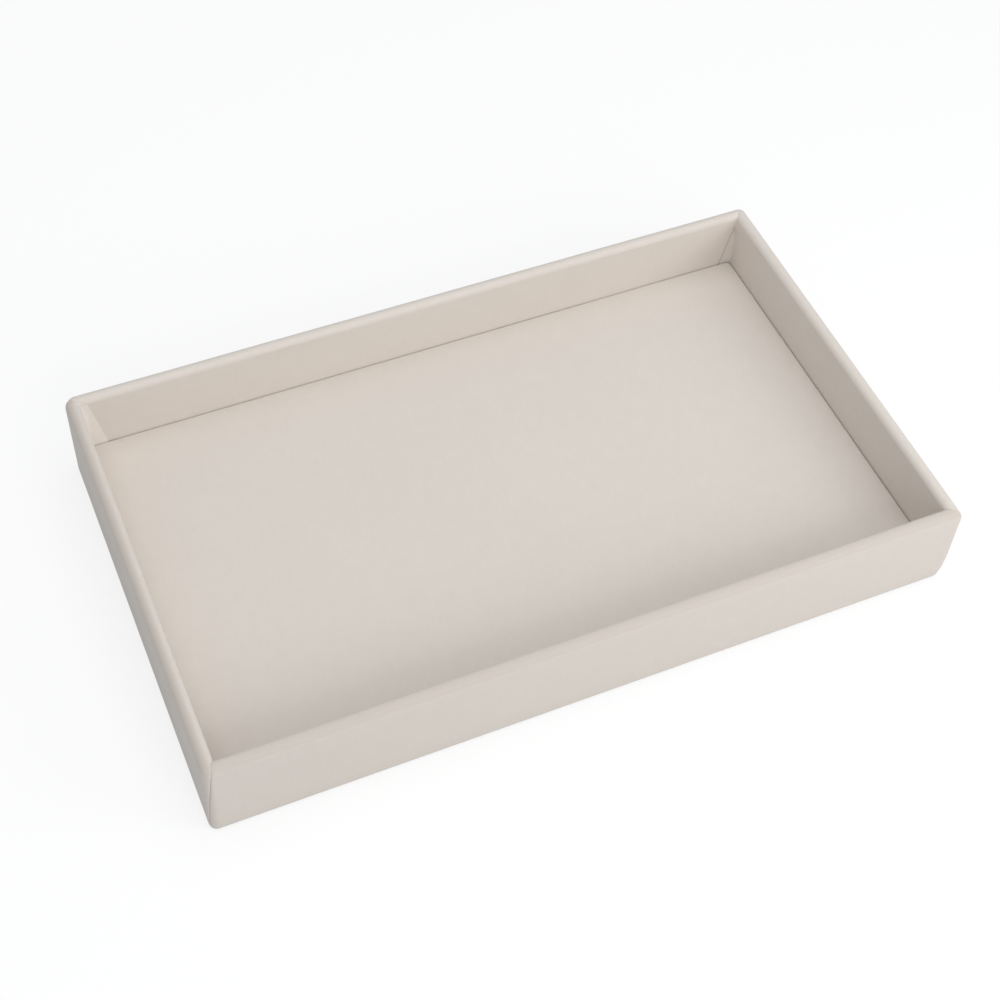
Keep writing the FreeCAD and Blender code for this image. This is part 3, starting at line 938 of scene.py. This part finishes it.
# %% Cut the pad's cover
lowest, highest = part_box("pad_cover")
PAD_HALF_LENGTH = highest.x
PAD_HALF_WIDTH = highest.y
PAD_BOTTOM = lowest.z
PAD_TOP = highest.z
PAD_CORNER = 0.0024
PAD_EDGE_ROUND = 0.0007
PAD_PUSH = np.array([0.0003, 0.00035, 0.0])
PAD_HEM_FOLD = 0.0013
PAD_TURN_IN = 0.0127
LAYER_MARGIN = 0.012
pad_path = rounded_path(
    [(PAD_TURN_IN, PAD_BOTTOM), (0, PAD_BOTTOM), (0, PAD_TOP), (LAYER_MARGIN, PAD_TOP)],
    [PAD_HEM_FOLD, PAD_EDGE_ROUND],
    step=0.0015,
)
half_length, half_width, _ = np.array([PAD_HALF_LENGTH, PAD_HALF_WIDTH, 0]) + PAD_PUSH
patches = layer_patches(pad_path, half_length, half_width, PAD_CORNER, lot=5)
patches = [(points + PAD_PUSH, cloth) for points, cloth in patches]
pad_cover = sew("pad_cover_fabric", patches, cover_fabric)
print(f"{pad_cover.name}: {len(pad_cover.data.polygons)} faces")

# %% [markdown]
# ## Foam under tension
# Foam presses the stretched fabric up into a low crown. A bulge could be drawn with a formula, but a
# short cloth simulation finds the even curve of cloth held at its edges: the rim of the cover is
# pinned, pressure pushes from below, and the rise is eased off where the foam would be at its limit.

# %% Blow up a trial cover
PRESSURE = 1.0
SWELL_FRAMES = 20
PINNED_MARGIN = 0.004
PIN_FADE = 0.006
FABRIC = 0.0007


def vertex_places(mesh):
    """The places of a mesh's vertices, one to a row."""
    places = np.empty(len(mesh.vertices) * 3)
    mesh.vertices.foreach_get("co", places)
    return places.reshape(-1, 3)


def swell(cover):
    """How far pressure lifts each vertex of a cover whose edges are pinned."""
    trial = cover.copy()
    trial.data = cover.data.copy()
    scene.collection.objects.link(trial)
    rest = vertex_places(trial.data)
    on_face = rest[:, 2] > PAD_TOP - FABRIC
    inset = np.minimum(PAD_HALF_LENGTH - np.abs(rest[:, 0]), PAD_HALF_WIDTH - np.abs(rest[:, 1]))
    held = 1 - smooth_step((inset - PINNED_MARGIN) / PIN_FADE) * on_face
    pins = trial.vertex_groups.new(name="held")
    for index, weight in enumerate(held):
        pins.add([index], float(weight), "REPLACE")
    cloth = trial.modifiers.new("swell", "CLOTH")
    cloth.settings.vertex_group_mass = pins.name
    cloth.settings.use_pressure = True
    cloth.settings.uniform_pressure_force = PRESSURE
    cloth.settings.effector_weights.gravity = 0
    cloth.point_cache.frame_start = 1
    cloth.point_cache.frame_end = SWELL_FRAMES
    for moment in range(1, SWELL_FRAMES + 1):
        scene.frame_set(moment)
    pressed = trial.evaluated_get(bpy.context.evaluated_depsgraph_get()).to_mesh()
    rise = vertex_places(pressed)[:, 2] - rest[:, 2]
    scene.frame_set(1)
    bpy.data.objects.remove(trial)
    return rise * on_face


print(f"the trial runs for {SWELL_FRAMES} frames")

# %% Press the pad's cover up
CROWN = 0.0007


def lift(piece, heights):
    """Raises a piece's vertices by the given heights."""
    places = vertex_places(piece.data)
    places[:, 2] += heights
    piece.data.vertices.foreach_set("co", places.ravel())
    piece.data.update()


flat_places = vertex_places(pad_cover.data)
pad_rise = np.zeros(len(flat_places))
pressed_rise = swell(pad_cover)
print(f"simulated rise up to {pressed_rise.max() * 1000:.2f} mm")
pad_rise = CROWN * np.tanh(np.maximum(pressed_rise, 0) / CROWN)
lift(pad_cover, pad_rise)
thicken(pad_cover, COVER_THICKNESS)
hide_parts("pad_cover")
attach(pad_cover, "pad")
PAD_RISE = pad_path["distance"][-1] - LAYER_MARGIN
PAD_CLOTH = (2 * (PAD_HALF_LENGTH + PAD_RISE), 2 * (PAD_HALF_WIDTH + PAD_RISE))
print("pad cover cut to", [round(side * 1000) for side in PAD_CLOTH], "mm")

# %% [markdown]
# ## Foam sheet
# The foam under the cover is hidden, but it is there when the pad is taken apart. It is a
# closed layer with a rounded upper edge, and its top follows the cover's crown: every vertex takes the
# rise of the nearest point of the cover. Its finish is a sponge of small open cells.

# %% Mix the foam
FOAM_LIGHT = paint(236, 230, 212)
FOAM_DEEP = paint(212, 202, 176)
FOAM_CELL = 0.0007
AGED_PATCH = 0.03


def object_place(bench):
    """Where a point is in the tray's own frame."""
    return bench.node("ShaderNodeTexCoord", {}, {}, "Object")


def cell_field(bench, place, per_metre):
    """How far a point is from the middle of the nearest of many scattered cells."""
    sockets = {"Vector": place, "Scale": per_metre}
    return bench.node("ShaderNodeTexVoronoi", {"feature": "F1"}, sockets, "Distance")


foam_sponge, bench = new_finish("foam_sponge")
place = object_place(bench)
cells = cell_field(bench, place, per_metre=1 / FOAM_CELL)
ageing = noise_field(bench, place, AGED_PATCH, detail=2.0)
sockets = {
    "Base Color": (0.6 * cells + 0.4 * ageing).blend(FOAM_LIGHT, FOAM_DEEP),
    "Roughness": 0.8 + 0.15 * cells,
    "Specular IOR Level": 0.2,
    "Normal": relief(bench, 1 - cells, depth=0.0004, strength=0.7),
}
end_finish(bench, sockets)
print("foam nodes:", len(foam_sponge.node_tree.nodes))

# %% Cut the foam
FOAM_CORNER = 0.003
FOAM_LOWER_ROUND = 0.0004
FOAM_UPPER_ROUND = 0.0014
FOAM_SLACK = 0.0001


def slab_path(bottom, top, lower_round, upper_round):
    """The cross-section of a closed layer, from its underside round the edge to its top."""
    corners = [(LAYER_MARGIN, bottom), (0, bottom), (0, top), (LAYER_MARGIN, top)]
    return rounded_path(corners, [lower_round, upper_round], step=0.003)


lowest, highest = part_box("pad_foam")
foam_path = slab_path(lowest.z, highest.z, FOAM_LOWER_ROUND, FOAM_UPPER_ROUND)
foam_spread = (highest.x - FOAM_SLACK, highest.y - FOAM_SLACK)
foam_patches = layer_patches(foam_path, *foam_spread, FOAM_CORNER, lot=7, closed=True)
foam_sheet = sew("pad_foam_sheet", foam_patches, foam_sponge)
cover_points = kdtree.KDTree(len(flat_places))
for index, point in enumerate(flat_places * (1, 1, 0)):
    cover_points.insert(point, index)
cover_points.balance()
foam_places = vertex_places(foam_sheet.data)
nearest = [cover_points.find((x, y, 0))[1] for x, y, _ in foam_places]
lift(foam_sheet, np.where(foam_places[:, 2] > highest.z - FOAM_SLACK, pad_rise[nearest], 0))
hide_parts("pad_foam")
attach(foam_sheet, "pad")
print(f"{foam_sheet.name}: {len(foam_sheet.data.polygons)} faces")

# %% [markdown]
# ## Felt under the tray
# A thin felt hides the covers' turned-in edges and keeps the tray from scratching a table. A plain
# plane would have no edge to see, so it is a closed sheet half a millimetre thick. Noise that is drawn
# out both ways stands for the short crossing fibres of its finish.

# %% Mix the felt
FELT_DEEP = paint(184, 170, 156)
FELT_LIGHT = paint(209, 199, 189)
FELT_FIBRE = 0.0009
FELT_CLOUD = 0.012

felt_grey, bench = new_finish("lining_felt")
place = cloth_value(bench, "cloth_place", "Vector")
lengthwise = noise_field(bench, stretched(bench, place, (1.0, 0.2, 1.0)), FELT_FIBRE, detail=3.0)
crosswise = noise_field(bench, stretched(bench, place, (0.2, 1.0, 1.0)), FELT_FIBRE, detail=3.0)
fibres = 0.5 * lengthwise + 0.5 * crosswise
felt_clouds = noise_field(bench, place, FELT_CLOUD, detail=2.0)
sockets = {
    "Base Color": (0.7 * fibres + 0.3 * felt_clouds).blend(FELT_DEEP, FELT_LIGHT),
    "Roughness": 0.86 + 0.12 * fibres,
    "Specular IOR Level": 0.2,
    "Sheen Weight": 0.1,
    "Normal": relief(bench, fibres, depth=0.0002, strength=0.6),
}
end_finish(bench, sockets)
print("felt nodes:", len(felt_grey.node_tree.nodes))

# %% Press the felt on
FELT_CORNER = 0.005
FELT_LOWER_ROUND = 0.0001
FELT_UPPER_ROUND = 0.0002

lowest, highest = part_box("underside_lining")
felt_path = slab_path(lowest.z, highest.z, FELT_LOWER_ROUND, FELT_UPPER_ROUND)
felt_patches = layer_patches(felt_path, highest.x, highest.y, FELT_CORNER, lot=9, closed=True)
felt = sew("underside_felt", felt_patches, felt_grey)
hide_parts("underside_lining")
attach(felt, "tray")
print(f"{felt.name}: {len(felt.data.polygons)} faces")

# %% [markdown]
# ## Boards and pins
# These keep the packed shapes, so only their finishes are new. The walls and the base are pressed wood
# fibre, the pad's stiff board is grey pulp with paler flecks, and the pins are drawn steel wire. Noise
# in the tray's own frame gives each its grain, because flat-cut boards have no folds to follow.

# %% Mix the boards
FIBRE_DEEP = paint(150, 122, 90)
FIBRE_LIGHT = paint(196, 172, 138)
FIBRE_CHIP = 0.0011
FIBRE_CLOUD = 0.025
PULP_DEEP = paint(140, 135, 128)
PULP_LIGHT = paint(174, 168, 160)
PULP_CLOT = 0.0016
FLECKS_PER_METRE = 420.0

fibre_board, bench = new_finish("fibre_board")
place = object_place(bench)
chips = noise_field(bench, place, FIBRE_CHIP, detail=4.0)
tint = noise_field(bench, place, FIBRE_CLOUD, detail=2.0)
sockets = {
    "Base Color": (0.65 * chips + 0.35 * tint).blend(FIBRE_DEEP, FIBRE_LIGHT),
    "Roughness": 0.7 + 0.2 * chips,
    "Specular IOR Level": 0.3,
    "Normal": relief(bench, chips, depth=0.0001, strength=0.4),
}
end_finish(bench, sockets)

pulp_board, bench = new_finish("pulp_board")
place = object_place(bench)
pulp = noise_field(bench, place, PULP_CLOT, detail=4.0)
flecks = cell_field(bench, place, FLECKS_PER_METRE)
sockets = {
    "Base Color": (0.7 * pulp + 0.3 * flecks).blend(PULP_DEEP, PULP_LIGHT),
    "Roughness": 0.78 + 0.15 * pulp,
    "Specular IOR Level": 0.25,
    "Normal": relief(bench, pulp, depth=0.00008, strength=0.4),
}
end_finish(bench, sockets)
print("mixed:", fibre_board.name, pulp_board.name)

# %% Mix the pins' steel and put the finishes on
STEEL_DEEP = paint(178, 178, 176)
STEEL_LIGHT = paint(206, 206, 204)
DRAG_MARK = 0.0004

drawn_wire, bench = new_finish("drawn_wire")
place = object_place(bench)
drag = noise_field(bench, place, DRAG_MARK, detail=3.0)
sockets = {
    "Base Color": drag.blend(STEEL_DEEP, STEEL_LIGHT),
    "Metallic": 1.0,
    "Roughness": 0.25 + 0.2 * drag,
    "Normal": relief(bench, drag, depth=0.00002, strength=0.3),
}
end_finish(bench, sockets)

FINISHES = {"wall_board": fibre_board, "grey_board": pulp_board, "pin_steel": drawn_wire}
for subpart in frame["record"]["subparts"]:
    finish = FINISHES.get(subpart["material_slot"])
    if finish:
        for slot in frame["nodes"][subpart["node"]].material_slots:
            slot.material = finish
        print(f"{subpart['node']}: {finish.name}")

# %% [markdown]
# ## Sizes
# Soft covers may reach past the solids that they replace. The packed model's box was kept at the start.
